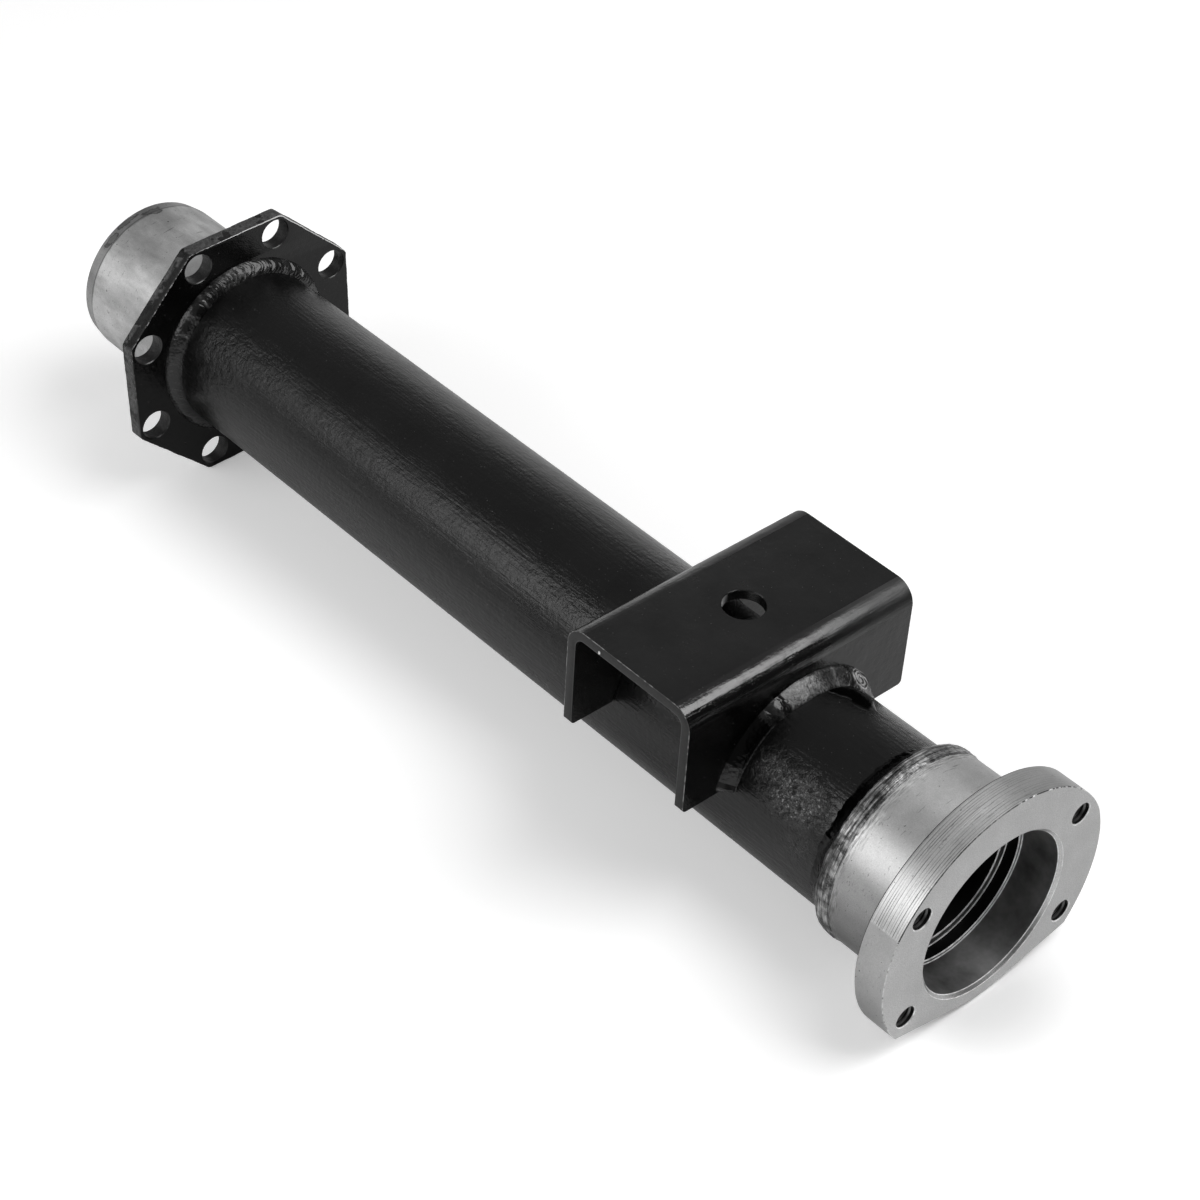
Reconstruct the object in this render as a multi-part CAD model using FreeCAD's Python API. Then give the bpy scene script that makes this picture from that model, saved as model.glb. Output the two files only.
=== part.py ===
import FreeCAD, Part
import math
import os

# Axle housing, one welded side: tube, octagonal flange, spring perch and bearing housing.
# Lengths are millimetres and angles are degrees.
# The origin is the centre of the bearing bore in the housing's bolt face. +X runs along the
# axle and out of the bore, +Z is up through the spring pad, and the tube lies along -X.

# Axle tube and the bare spigot that its far end is turned down to
tube_d = 76.2
tube_wall = 6.35
spigot_d = 74.6
spigot_length = 66.5
lead_length = 7.0
lead_taper = 1.0
spigot_edge = 0.8

# Octagonal mounting flange
flange_station = 459.3
flange_thickness = 7.2
flange_hole_d = 14.0
flange_hole_count = 8
flange_hole_offset = 16.6
flange_edge_land = 1.96
flange_clock = 2.5
flange_slip = 0.1
flange_weld_leg = 5.2

# Spring perch, one channel folded from plate
perch_station = 138.7
perch_width = 67.5
perch_length = 118.2
perch_plate = 4.5
perch_bend_r = 9.0
perch_rise = 18.8
perch_leg_height = 8.0
perch_corner_r = 2.0
perch_hole_d = 17.4
saddle_gap = 0.3
perch_weld_leg = 5.4

# Bearing housing: neck, bolt flange and stepped bore
housing_length = 50.0
neck_step = 4.5
neck_root = 0.8
prep_land = 1.5
bolt_flange_t = 14.4
bolt_flange_edge = 0.5
bolt_spacing_y = 85.0
bolt_spacing_z = 51.0
bolt_hole_d = 9.5
bolt_countersink = 0.4
ear_land = 8.6
crown_land = 7.8
crown_drop = 5.5
foot_slope = 11.5
bearing_bore_d = 72.0
bearing_seat_depth = 18.8
seal_relief_d = 68.8
seal_relief_depth = 5.4
throat_d = 61.6
bore_lip = 1.5
housing_weld_reach = 7.0
housing_weld_crown = 0.5

# Fillet beads: how far in from the corner their round face is struck, its flats, and the
# taper that ends a bead, as its length in legs and the share of the section left at its tip
bead_centre_depth = 2.5
bead_flats = 3
bead_taper_legs = 0.8
bead_tip_share = 0.5

# Places that several pieces share
tube_r = tube_d / 2
tube_bore_r = tube_r - tube_wall
neck_r = tube_r + neck_step
tube_butt_x = -housing_length
flange_front_x = -flange_station
flange_back_x = flange_front_x - flange_thickness
spigot_end_x = flange_back_x - spigot_length
pad_z = tube_r + perch_rise
perch_leg_x = perch_width / 2

X_AXIS = FreeCAD.Vector(1, 0, 0)
Z_AXIS = FreeCAD.Vector(0, 0, 1)
ORIGIN = FreeCAD.Vector(0, 0, 0)


def in_section(x, r):
    """A point of a turned piece's half section: x along the axle, r out from it."""
    return FreeCAD.Vector(x, 0, r)


def across(x, angle, r):
    """A point at a radius and an angle about the axle, with the angle counted from +Y."""
    turn = math.radians(angle)
    return FreeCAD.Vector(x, r * math.cos(turn), r * math.sin(turn))


def turned(points):
    """Turn a closed half section about the axle."""
    wire = Part.makePolygon(points + points[:1])
    return Part.Face(wire).revolve(ORIGIN, X_AXIS, 360)


def rod(x_from, x_to, radius, y=0.0, z=0.0):
    """A cylinder along the axle between two stations."""
    low = min(x_from, x_to)
    return Part.makeCylinder(radius, abs(x_to - x_from), FreeCAD.Vector(low, y, z), X_AXIS)


def ring_of_holes(x_from, x_to, radius, pcd, count, first_angle):
    """Cylinders along the axle, evenly spaced on a bolt circle."""
    centres = [across(0, first_angle + i * 360 / count, pcd / 2) for i in range(count)]
    return [rod(x_from, x_to, radius, centre.y, centre.z) for centre in centres]


def axle_tube():
    """Tube with its far end turned down to the spigot and led in with a slight taper."""
    spigot_r = spigot_d / 2
    taper_x = spigot_end_x + lead_length
    nose_r = spigot_r - lead_taper
    return turned([
        in_section(tube_butt_x, tube_bore_r),
        in_section(tube_butt_x, tube_r),
        in_section(flange_back_x, tube_r),
        in_section(flange_back_x, spigot_r),
        in_section(taper_x, spigot_r),
        in_section(spigot_end_x + spigot_edge, nose_r),
        in_section(spigot_end_x, nose_r - spigot_edge),
        in_section(spigot_end_x, tube_bore_r),
    ])


def mounting_flange():
    """Octagonal plate bored to slide over the tube, with a hole near each corner."""
    pcd = tube_d + 2 * flange_hole_offset
    half_corner = 180 / flange_hole_count
    flat_r = (pcd / 2) * math.cos(math.radians(half_corner)) + flange_hole_d / 2 + flange_edge_land
    corner_r = flat_r / math.cos(math.radians(half_corner))
    first = flange_clock + half_corner
    corners = [across(flange_back_x, first + i * 2 * half_corner, corner_r) for i in range(flange_hole_count)]
    outline = Part.Face(Part.makePolygon(corners + corners[:1]))
    plate = outline.extrude(X_AXIS * flange_thickness)
    bore = rod(flange_back_x, flange_front_x, tube_r + flange_slip)
    holes = ring_of_holes(flange_back_x, flange_front_x, flange_hole_d / 2, pcd, flange_hole_count, first)
    return plate.cut(Part.makeCompound([bore] + holes))


def channel_outline(inset):
    """The folded channel's outer line, or a line inset into its plate, seen along Y."""
    left = -perch_leg_x + inset
    right = perch_leg_x - inset
    top = pad_z - inset
    bend = perch_bend_r - inset
    diagonal = bend * (1 - math.sqrt(0.5))
    leg_end = perch_leg_height

    def at(x, z):
        return FreeCAD.Vector(x - perch_station, -perch_length / 2, z)

    return [
        Part.makeLine(at(left, leg_end), at(left, top - bend)),
        Part.Arc(at(left, top - bend), at(left + diagonal, top - diagonal), at(left + bend, top)).toShape(),
        Part.makeLine(at(left + bend, top), at(right - bend, top)),
        Part.Arc(at(right - bend, top), at(right - diagonal, top - diagonal), at(right, top - bend)).toShape(),
        Part.makeLine(at(right, top - bend), at(right, leg_end)),
    ]


def leg_end_corners(channel):
    """The channel's edges along X where its legs end, at both sides of the axle."""
    found = []
    for edge in channel.Edges:
        box = edge.BoundBox
        at_leg_end = abs(box.ZMax - perch_leg_height) < 0.01
        at_side = abs(abs(box.Center.y) - perch_length / 2) < 0.01
        if at_leg_end and at_side and box.YLength < 0.01:
            found.append(edge)
    return found


def spring_perch():
    """Folded channel with round saddles cut in both legs and the locating hole in its top."""
    outer = channel_outline(0.0)
    inner = channel_outline(perch_plate)
    foot_left = Part.makeLine(outer[0].Vertexes[0].Point, inner[0].Vertexes[0].Point)
    foot_right = Part.makeLine(outer[-1].Vertexes[-1].Point, inner[-1].Vertexes[-1].Point)
    loop = Part.Wire(Part.__sortEdges__(outer + inner + [foot_left, foot_right]))
    channel = Part.Face(loop).extrude(FreeCAD.Vector(0, perch_length, 0))
    channel = channel.makeFillet(perch_corner_r, leg_end_corners(channel))
    saddle = rod(-perch_station - perch_width, -perch_station + perch_width, tube_r + saddle_gap)
    hole_foot = FreeCAD.Vector(-perch_station, 0, pad_z - perch_plate)
    hole = Part.makeCylinder(perch_hole_d / 2, perch_plate, hole_foot, Z_AXIS)
    return channel.cut(Part.makeCompound([saddle, hole]))


def bevelled_disc(radius):
    """Disc of the bolt flange's thickness about the axle, with both rims bevelled."""
    rim = radius - bolt_flange_edge
    return turned([
        in_section(-bolt_flange_t, 0),
        in_section(-bolt_flange_t, rim),
        in_section(-bolt_flange_t + bolt_flange_edge, radius),
        in_section(-bolt_flange_edge, radius),
        in_section(0, rim),
        in_section(0, 0),
    ])


def foot_block(reach):
    """All that lies above the bolt flange's foot: an arc under the neck with two tangents to it."""
    foot_r = neck_r + neck_root
    left = across(0, 270 - foot_slope, foot_r)
    right = across(0, 270 + foot_slope, foot_r)
    rise = reach * math.tan(math.radians(foot_slope))
    far_right = right + FreeCAD.Vector(0, reach, rise)
    far_left = left + FreeCAD.Vector(0, -reach, rise)
    top_right = FreeCAD.Vector(0, far_right.y, reach)
    top_left = FreeCAD.Vector(0, far_left.y, reach)
    outline = Part.Wire([
        Part.Arc(left, across(0, 270, foot_r), right).toShape(),
        Part.makeLine(right, far_right),
        Part.makeLine(far_right, top_right),
        Part.makeLine(top_right, top_left),
        Part.makeLine(top_left, far_left),
        Part.makeLine(far_left, left),
    ])
    block = Part.Face(outline).extrude(X_AXIS * -bolt_flange_t)
    flat = [edge for edge in block.Edges if edge.BoundBox.XLength < 0.01]
    rims = [edge for edge in flat if edge.BoundBox.ZMax < far_right.z + 0.01]
    return block.makeChamfer(bolt_flange_edge, rims)


def bolt_flange_plate():
    """Bolt flange: round ears, a flatter crown, and a foot that drops to the neck's underside."""
    half_y = bolt_spacing_y / 2
    half_z = bolt_spacing_z / 2
    ears = bevelled_disc(math.hypot(half_y, half_z) + ear_land)
    crown = bevelled_disc(math.hypot(half_y, half_z + crown_drop) + crown_land)
    crown.translate(Z_AXIS * -crown_drop)
    reach = bolt_spacing_y + ear_land
    return ears.common(crown).common(foot_block(reach)).removeSplitter()


def neck():
    """Neck behind the bolt flange, with a bevelled root and a bevel for the weld."""
    bevel = neck_step - prep_land
    flange_x = -bolt_flange_t
    return turned([
        in_section(flange_x, 0),
        in_section(tube_butt_x, 0),
        in_section(tube_butt_x, neck_r - bevel),
        in_section(tube_butt_x + bevel, neck_r),
        in_section(flange_x - neck_root, neck_r),
        in_section(flange_x, neck_r + neck_root),
    ])


def stepped_bore():
    """The space bored out of the housing: lip, bearing seat, seal relief and throat."""
    seat_r = bearing_bore_d / 2
    relief_r = seal_relief_d / 2
    throat_r = throat_d / 2
    relief_end = -bearing_seat_depth - seal_relief_depth
    return turned([
        in_section(0, 0),
        in_section(0, seat_r + bore_lip),
        in_section(-bore_lip, seat_r),
        in_section(-bearing_seat_depth, seat_r),
        in_section(-bearing_seat_depth, relief_r),
        in_section(relief_end, relief_r),
        in_section(relief_end, throat_r),
        in_section(tube_butt_x, throat_r),
        in_section(tube_butt_x, 0),
    ])


def bolt_holes():
    """The four tapped holes of the bolt flange, each with a small countersink."""
    radius = bolt_hole_d / 2
    tools = []
    for side_y in (-1, 1):
        for side_z in (-1, 1):
            y = side_y * bolt_spacing_y / 2
            z = side_z * bolt_spacing_z / 2
            tools.append(rod(-bolt_flange_t, 0, radius, y, z))
            sink_foot = FreeCAD.Vector(-bolt_countersink, y, z)
            tools.append(Part.makeCone(radius, radius + bolt_countersink, bolt_countersink, sink_foot, X_AXIS))
    return tools


def bearing_housing():
    """One turned and milled piece: bolt flange, neck, stepped bore and tapped holes."""
    body = bolt_flange_plate().fuse(neck())
    body = body.cut(stepped_bore())
    for tool in bolt_holes():
        body = body.cut(tool)
    return body.removeSplitter()


def bead_section(face_x, side, leg):
    """Section of a fillet bead in the corner between tube and plate, its round face in flats."""
    centre_x = face_x - side * bead_centre_depth
    centre_r = tube_r - bead_centre_depth
    bead_r = math.hypot(leg + bead_centre_depth, bead_centre_depth)
    first = math.asin(bead_centre_depth / bead_r)
    step = (math.pi / 2 - 2 * first) / bead_flats
    turns = [first + i * step for i in range(bead_flats + 1)]
    face = [in_section(centre_x + side * bead_r * math.cos(t), centre_r + bead_r * math.sin(t)) for t in turns]
    return [in_section(face_x, tube_r)] + face


def bead_end(section, leg, start, tip_angle):
    """Taper that ends a fillet bead: its section shrinks into the corner over a short turn."""
    corner = section[0]
    tip = [corner + (point - corner) * bead_tip_share for point in section]
    rings = []
    for angle, points in ((start, section), (tip_angle, tip)):
        ring = [across(point.x, angle, point.z) for point in points]
        rings.append(Part.makePolygon(ring + ring[:1]))
    tube = rod(corner.x - 2 * leg, corner.x + 2 * leg, tube_r)
    return Part.makeLoft(rings, True, True).cut(tube)


def open_bead(face_x, side, leg, tip_angle):
    """Fillet bead from the tip's angle up over the tube to its mirror image, with tapered ends."""
    section = bead_section(face_x, side, leg)
    start = tip_angle + math.degrees(bead_taper_legs * leg / tube_r)
    face = Part.Face(Part.makePolygon(section + section[:1]))
    face.rotate(ORIGIN, X_AXIS, start - 90)
    bead = face.revolve(ORIGIN, X_AXIS, 180 - 2 * start)
    ends = [bead_end(section, leg, start, tip_angle), bead_end(section, leg, 180 - start, 180 - tip_angle)]
    return bead.fuse(ends).removeSplitter()


def flange_weld():
    """Bead all round the tube on the octagonal flange's inner face."""
    return turned(bead_section(flange_front_x, 1, flange_weld_leg))


def leg_end_angle():
    """Angle about the axle, up from +Y, at which the perch's leg ends beside the tube."""
    return math.degrees(math.asin(perch_leg_height / tube_r))


def perch_weld_front():
    """Bead over the tube on the perch leg that looks towards the bearing housing."""
    return open_bead(-perch_station + perch_leg_x, 1, perch_weld_leg, leg_end_angle())


def perch_weld_rear():
    """The same bead on the perch's other leg."""
    return open_bead(-perch_station - perch_leg_x, -1, perch_weld_leg, leg_end_angle())


def housing_weld():
    """Bead that fills the bevel between tube and neck and laps onto both."""
    bevel = neck_step - prep_land
    toe_x = tube_butt_x - housing_weld_reach
    shoulder_x = tube_butt_x + prep_land / 2
    shoulder_r = neck_r + housing_weld_crown
    return turned([
        in_section(tube_butt_x, tube_r),
        in_section(toe_x, tube_r),
        in_section(shoulder_x, shoulder_r),
        in_section(tube_butt_x + housing_weld_reach, neck_r),
        in_section(tube_butt_x + bevel, neck_r),
        in_section(tube_butt_x, neck_r - bevel),
    ])


def write_pieces():
    """Write one STEP file for each piece, named after it."""
    os.makedirs("parts", exist_ok=True)
    makers = [
        axle_tube,
        mounting_flange,
        spring_perch,
        bearing_housing,
        flange_weld,
        perch_weld_front,
        perch_weld_rear,
        housing_weld,
    ]
    for maker in makers:
        shape = maker()
        solid = shape.Solids[0] if len(shape.Solids) == 1 else shape
        if not solid.isValid():
            raise ValueError(maker.__name__ + " is not a valid solid")
        solid.exportStep(os.path.join("parts", maker.__name__ + ".step"))
        print(maker.__name__, len(shape.Solids), "solid", round(shape.Volume), "mm3")


write_pieces()
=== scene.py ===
from math import acos, asin, cos, degrees, hypot, pi, radians, sin, sqrt

import bmesh
import bpy
from mathutils import Matrix, Vector, noise
from mathutils.geometry import tessellate_polygon


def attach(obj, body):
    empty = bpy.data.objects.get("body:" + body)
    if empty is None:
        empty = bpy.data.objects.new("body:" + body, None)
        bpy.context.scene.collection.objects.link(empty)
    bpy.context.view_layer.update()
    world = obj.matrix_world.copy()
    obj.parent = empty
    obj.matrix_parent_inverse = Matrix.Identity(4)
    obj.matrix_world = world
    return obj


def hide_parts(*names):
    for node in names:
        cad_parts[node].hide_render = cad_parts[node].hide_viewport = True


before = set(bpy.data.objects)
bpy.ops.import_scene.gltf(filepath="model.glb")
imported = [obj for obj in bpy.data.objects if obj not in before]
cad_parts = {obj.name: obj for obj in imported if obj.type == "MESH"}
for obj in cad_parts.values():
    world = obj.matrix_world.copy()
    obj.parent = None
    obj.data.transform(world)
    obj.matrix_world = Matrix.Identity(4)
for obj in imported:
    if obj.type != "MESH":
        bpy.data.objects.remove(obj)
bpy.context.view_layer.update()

# Sizes in millimetres in the CAD frame, +X out of the bearing bore and +Z up through the spring pad;
# angles in degrees about the axle, counted from +Y towards +Z
MM = 0.001
TUBE_R = 38.1
TUBE_BORE_R = 31.75
BUTT_X = -50
FLANGE_FRONT_X = -459.3
FLANGE_BACK_X = -466.5
SPIGOT_R = 37.3
SPIGOT_END_X = -533
TAPER_LENGTH = 7
NOSE_R = 36.3
NECK_R = 42.6

OCTAGON_SIDES = 8
OCTAGON_STEP = 45
OCTAGON_FIRST = 25
OCTAGON_T = 7.2
OCTAGON_FLAT_R = 59.496
OCTAGON_PITCH_R = 54.7
OCTAGON_HOLE_R = 7

PERCH_X = -138.7
PERCH_HALF_X = 33.75
PERCH_HALF_Y = 59.1
PERCH_TOP_Z = 56.9
PERCH_PLATE = 4.5
PERCH_BEND_R = 9
PERCH_FOOT_Z = 8
PERCH_CORNER_R = 2
PERCH_HOLE_R = 8.7
PERCH_EDGE = 0.35
SADDLE_R = 38.4

BOLT_FLANGE_T = 14.4
BOLT_EDGE = 0.5
EAR_R = 58.163
CROWN_R = 60.404
CROWN_DROP = 5.5
FOOT_R = 43.4
FOOT_SLOPE = 11.5
BOLT_R = 4.75
BOLTS = [(y, z) for y in (-42.5, 42.5) for z in (-25.5, 25.5)]
# Where the crown meets the ears
CROWN_RISE = (EAR_R ** 2 + CROWN_DROP ** 2 - CROWN_R ** 2) / (-2 * CROWN_DROP)
CROWN_START = degrees(asin(CROWN_RISE / EAR_R))

# Where the perch's front bead ends in a crater: its angle, and its place in metres
CRATER_ANGLE = 44
CRATER_PLACE = (-0.1008, 0.0298, 0.0288)


def lerp(a, b, t):
    return a + (b - a) * t


def ease(low, high, value):
    """0 below low, 1 above high and a smooth rise between; low may be above high."""
    t = min(1, max(0, (value - low) / (high - low)))
    return t * t * (3 - 2 * t)


def full_turn(count):
    return [360 * i / count for i in range(count)]


def turn_from(about, angle):
    """How far an angle lies from another one, between -180 and 180 degrees."""
    return (angle - about + 180) % 360 - 180


def circle_turns(count):
    return [2 * pi * i / count for i in range(count)]


def round_axle(x, angle, radius):
    """A point at a radius and an angle about the axle."""
    turn = radians(angle)
    return (x, radius * cos(turn), radius * sin(turn))


def rough(point, size, octaves=3):
    """Smooth noise of about -1 to 1 whose features are about size millimetres."""
    place = Vector(point) / size
    total = 0
    share = 1
    for _ in range(octaves):
        total += share * noise.noise(place)
        place = place * 2.03 + Vector((17.1, 3.7, 9.2))
        share *= 0.5
    return total


def lumps(angle, *rises):
    """Sum of smooth rises about angles; each has its angle, its half width and its height."""
    return sum(height * (1 - ease(0, reach, abs(turn_from(about, angle)))) for about, reach, height in rises)


def add_object(name, data):
    made = bpy.data.objects.new(name, data)
    bpy.context.scene.collection.objects.link(made)
    return made


class Shell:
    """A closed mesh made from rows of points; each point carries a mark of how worn it is, which on welds
    and some edges also places a painted highlight.
    """

    def __init__(self):
        self.points = []
        self.marks = []
        self.faces = []
        self.slots = []
        self.slot_of = {}

    def row(self, points, marks=0):
        """Add points, with one mark for all or a list of them; gives the points' numbers."""
        first = len(self.points)
        self.points.extend(points)
        self.marks.extend(marks if isinstance(marks, list) else [marks] * len(points))
        return list(range(first, len(self.points)))

    def circle(self, x, radius, count, y=0, z=0):
        """Add a circle about an axis along X."""
        return self.row([(x, y + radius * cos(t), z + radius * sin(t)) for t in circle_turns(count)])

    def face(self, corners, material):
        self.faces.append(tuple(corners))
        self.slots.append(self.slot_of.setdefault(material, len(self.slot_of)))

    def sheet(self, row_a, row_b, material):
        """Faces between two rows that stay open."""
        for a, next_a, b, next_b in zip(row_a, row_a[1:], row_b, row_b[1:]):
            self.face((a, next_a, next_b, b), material)

    def strip(self, row_a, row_b, material):
        """Faces between two rows that each close on themselves."""
        self.sheet(row_a + row_a[:1], row_b + row_b[:1], material)

    def strips(self, rows, material):
        for row_a, row_b in zip(rows, rows[1:]):
            self.strip(row_a, row_b, material)

    def fill(self, loops, material):
        """Flat face inside the first loop, less the other loops."""
        flat = [index for loop in loops for index in loop]
        for corners in tessellate_polygon([[Vector(self.points[i]) for i in loop] for loop in loops]):
            self.face([flat[corner] for corner in corners], material)

    def build(self, name, sharp=32):
        """Make the object; edges that turn by more than the sharp angle stay hard."""
        mesh = bpy.data.meshes.new(name)
        mesh.from_pydata([(x * MM, y * MM, z * MM) for x, y, z in self.points], [], self.faces)
        for material in self.slot_of:
            mesh.materials.append(material)
        mesh.polygons.foreach_set("material_index", self.slots)
        mesh.attributes.new("wear_and_highlight", "FLOAT", "POINT").data.foreach_set("value", self.marks)
        work = bmesh.new()
        work.from_mesh(mesh)
        bmesh.ops.recalc_face_normals(work, faces=work.faces)
        work.to_mesh(mesh)
        work.free()
        mesh.shade_smooth()
        mesh.set_sharp_from_angle(angle=radians(sharp))
        piece = add_object(name, mesh)
        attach(piece, "root")
        return piece


class Value:
    """A number or vector worked out by nodes; + - and * on it add math nodes."""

    def __init__(self, graph, socket):
        self.graph = graph
        self.socket = socket

    def __add__(self, other):
        return self.graph.maths("ADD", self, other)

    def __sub__(self, other):
        return self.graph.maths("SUBTRACT", self, other)

    def __rsub__(self, other):
        return self.graph.maths("SUBTRACT", other, self)

    def __mul__(self, other):
        return self.graph.maths("MULTIPLY", self, other)


class Graph:
    """Adds nodes to a new material, or to the world given. Lengths are in metres."""

    def __init__(self, name, world=None):
        self.material = world or bpy.data.materials.new(name)
        self.material.use_nodes = True
        self.tree = self.material.node_tree
        self.shader = self.tree.nodes["Background" if world else "Principled BSDF"]
        self.place = self.node("TexCoord", {}, "Generated" if world else "Object")

    def put(self, socket, value):
        """Link a Value to an input, or write a plain value there."""
        if isinstance(value, Value):
            self.tree.links.new(value.socket, socket)
        else:
            socket.default_value = value

    def node(self, kind, inputs, output=0, **settings):
        """Add a node and give one of its outputs."""
        made = self.tree.nodes.new("ShaderNode" + kind)
        for key, value in settings.items():
            setattr(made, key, value)
        for key, value in inputs.items():
            self.put(made.inputs[key], value)
        return Value(self, made.outputs[output])

    def maths(self, operation, a, b=0, clamp=False):
        return self.node("Math", {0: a, 1: b}, operation=operation, use_clamp=clamp)

    def vectors(self, operation, a, b=(0, 0, 0), output=0):
        return self.node("VectorMath", {0: a, 1: b}, output, operation=operation)

    def mix(self, factor, a, b):
        return self.node("Mix", {0: factor, 2: a, 3: b}, data_type="FLOAT")

    def noise(self, scale, detail, roughness, stretch=None):
        place = self.place
        if stretch:
            place = self.node("Mapping", {"Vector": place, "Scale": stretch})
        inputs = {"Vector": place, "Scale": scale, "Detail": detail, "Roughness": roughness}
        return self.node("TexNoise", inputs, "Fac")

    def streaks(self, x, y, z, detail, roughness):
        """Noise with its own scale along each axis."""
        return self.noise(1, detail, roughness, (x, y, z))

    def ramp(self, value, *stops):
        """Straight lines from stop to stop, level before the first and past the last."""
        made = self.node("ValToRGB", {"Fac": value}, "Color")
        ramp = made.socket.node.color_ramp
        while len(ramp.elements) < len(stops):
            ramp.elements.new(0.5)
        for element, (position, grey) in zip(ramp.elements, stops):
            element.position = position
            element.color = (grey, grey, grey, 1)
        return made

    def rise(self, value, start, end, low=0, high=1):
        return self.ramp(value, (start, low), (end, high))

    def fade(self, value, start, end, low=0, high=1, kind="SMOOTHSTEP"):
        """Change from low to high as the value goes from start to end, which may be the lesser."""
        inputs = {"Value": value, "From Min": start, "From Max": end, "To Min": low, "To Max": high}
        return self.node("MapRange", inputs, interpolation_type=kind)

    def along(self, axis):
        return self.node("SeparateXYZ", {"Vector": self.place}, axis)

    def toward(self, direction):
        return self.vectors("DOT_PRODUCT", self.place, direction, "Value")

    def length(self, vector):
        return self.vectors("LENGTH", vector, output="Value")

    def ray(self, kind):
        return self.node("LightPath", {}, kind)

    def shown(self):
        """1 for rays that show the background in metal and glass."""
        return self.maths("ADD", self.ray("Is Glossy Ray"), self.ray("Is Transmission Ray"), clamp=True)

    def wear_and_highlight(self):
        return self.node("Attribute", {}, "Fac", attribute_name="wear_and_highlight")

    def bump(self, height, distance, under=None):
        inputs = {"Height": height, "Distance": distance, "Strength": 1}
        if under:
            inputs["Normal"] = under
        return self.node("Bump", inputs)

    def finish(self, tone, roughness, normal=None, **inputs):
        """Set the shader's inputs, where _ stands for a space in a name; gives the material."""
        grey = self.node("CombineColor", {0: tone, 1: tone, 2: tone})
        inputs.update(Base_Color=grey, Roughness=roughness)
        if normal:
            inputs["Normal"] = normal
        for key, value in inputs.items():
            self.put(self.shader.inputs[key.replace("_", " ")], value)
        return self.material


def paint(name, peel, lumpy, gloss, streaks=0, pits=0, dust=0, drawn="X", specular=0.4, dulled=0):
    """Satin black paint: orange peel, lumps and fine grit; where marked it is coarse and pitted, with grey
    torn paint and pale flakes that are partly painted glints.

    Streaks run along the axis drawn, dust is the grey left on the paint, and a dulled paint gets
    rougher toward +Y.
    """
    g = Graph(name)
    wear_and_highlight = g.wear_and_highlight()
    blotch = g.noise(34, 4, 0.6)
    specks = g.rise(g.noise(950, 1, 0.5), 0.75, 0.77)
    tone = g.mix(g.rise(blotch, 0.3, 0.7), 0.0008 + dust, 0.0024 + 2 * dust)
    tone = g.mix(specks * 0.2, tone, 0.2)
    shine = g.mix(g.rise(blotch, 0.32, 0.68), gloss, gloss + 0.08) - wear_and_highlight * 0.06
    if pits:
        # Paint on the tube gets duller toward the octagonal flange
        shine = shine + g.fade(g.along("X"), -0.1, -0.42, kind="LINEAR") * 0.07
    if dulled:
        shine = shine + g.fade(g.along("Y"), -0.02, 0.055, 0, dulled)
    normal = g.bump(g.noise(120, 2, 0.5), lumpy)
    normal = g.bump(g.noise(480, 4, 0.62) * (wear_and_highlight * 0.8 + 1), peel, normal)
    if streaks:
        stretch = (50, 760, 760) if drawn == "X" else (560, 40, 560)
        normal = g.bump(g.streaks(*stretch, 3, 0.6), streaks, normal)
    if pits:
        wrinkles = g.rise(g.noise(230, 4, 0.66), 0.4, 0.56)
        normal = g.bump(wrinkles * wear_and_highlight, pits, normal)
        deep = g.rise(wear_and_highlight, 0.35, 1)
        torn = g.ramp(g.noise(360, 4, 0.65), (0.37, 0), (0.44, 0.8), (0.62, 1))
        normal = g.bump(torn * deep, 1.5 * pits, normal)
        # Grey torn paint and pale flakes in the marked patches: partly bare grit, partly painted glints and
        # sheen
        level = g.noise(900, 4, 0.75) + deep * 0.06
        flakes_and_glints = g.ramp(level, (0.5, 0), (0.58, 0.03), (0.66, 0.1), (0.72, 0.55))
        tone = tone + ((flakes_and_glints + 0.024) * (deep * torn) + wear_and_highlight * 0.0025)
        shine = g.mix(deep * (1 - torn), shine, 0.6)
    normal = g.bump(g.noise(1400, 2, 0.6), 0.00006, normal)
    return g.finish(tone, shine, normal, Specular_IOR_Level=specular)


def crater_rings_and_highlights(g, height):
    """Rings round the place where the perch's front bead was ended, which are also painted pale as
    highlights, and how far they reach.
    """
    away = g.vectors("SUBTRACT", g.place, CRATER_PLACE)
    turn = {"Vector": away, "Angle": radians(-CRATER_ANGLE)}
    turned = g.node("VectorRotate", turn, rotation_type="X_AXIS")
    # Long across the bead's width
    reach = g.length(g.vectors("MULTIPLY", turned, (1, 1, 0.6)))
    ring_pitch = 0.0013
    ring = g.maths("SINE", (reach + height * 0.002) * (2 * pi / ring_pitch))
    inside = g.rise(reach * 100, 0.42, 0.5, 1, 0)
    return g.rise(ring * 0.5 + 0.5, 0.35, 0.8) * inside, inside


def weld_paint(name, crater=False):
    """Painted weld bead: black in the hollows, grey where it is marked, partly rubbed paint and partly
    painted highlight on crests and facets.
    """
    g = Graph(name)
    cloud = g.noise(190, 3, 0.6)
    fine = g.noise(900, 3, 0.65)
    # The grey where marked is partly rubbed paint, partly painted highlight
    rubbed_and_painted_light = g.wear_and_highlight() * g.rise(cloud, 0.36, 0.56, 0.25, 1)
    tone = g.mix(rubbed_and_painted_light, g.mix(cloud, 0.0005, 0.004), g.mix(g.rise(fine, 0.35, 0.6), 0.02, 0.2))
    normal = g.bump(fine, 0.00007, g.bump(cloud, 0.0003))
    if crater:
        ring, inside = crater_rings_and_highlights(g, cloud)
        # Inside the crater the rings are painted pale: painted highlights on its ridges
        tone = g.mix(inside, tone, g.mix(ring, 0.03, g.mix(fine, 0.1, 0.6)))
        normal = g.bump(ring, 0.0003, normal)
    return g.finish(tone, g.mix(cloud, 0.12, 0.3), normal, Specular_IOR_Level=0.45)


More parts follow.
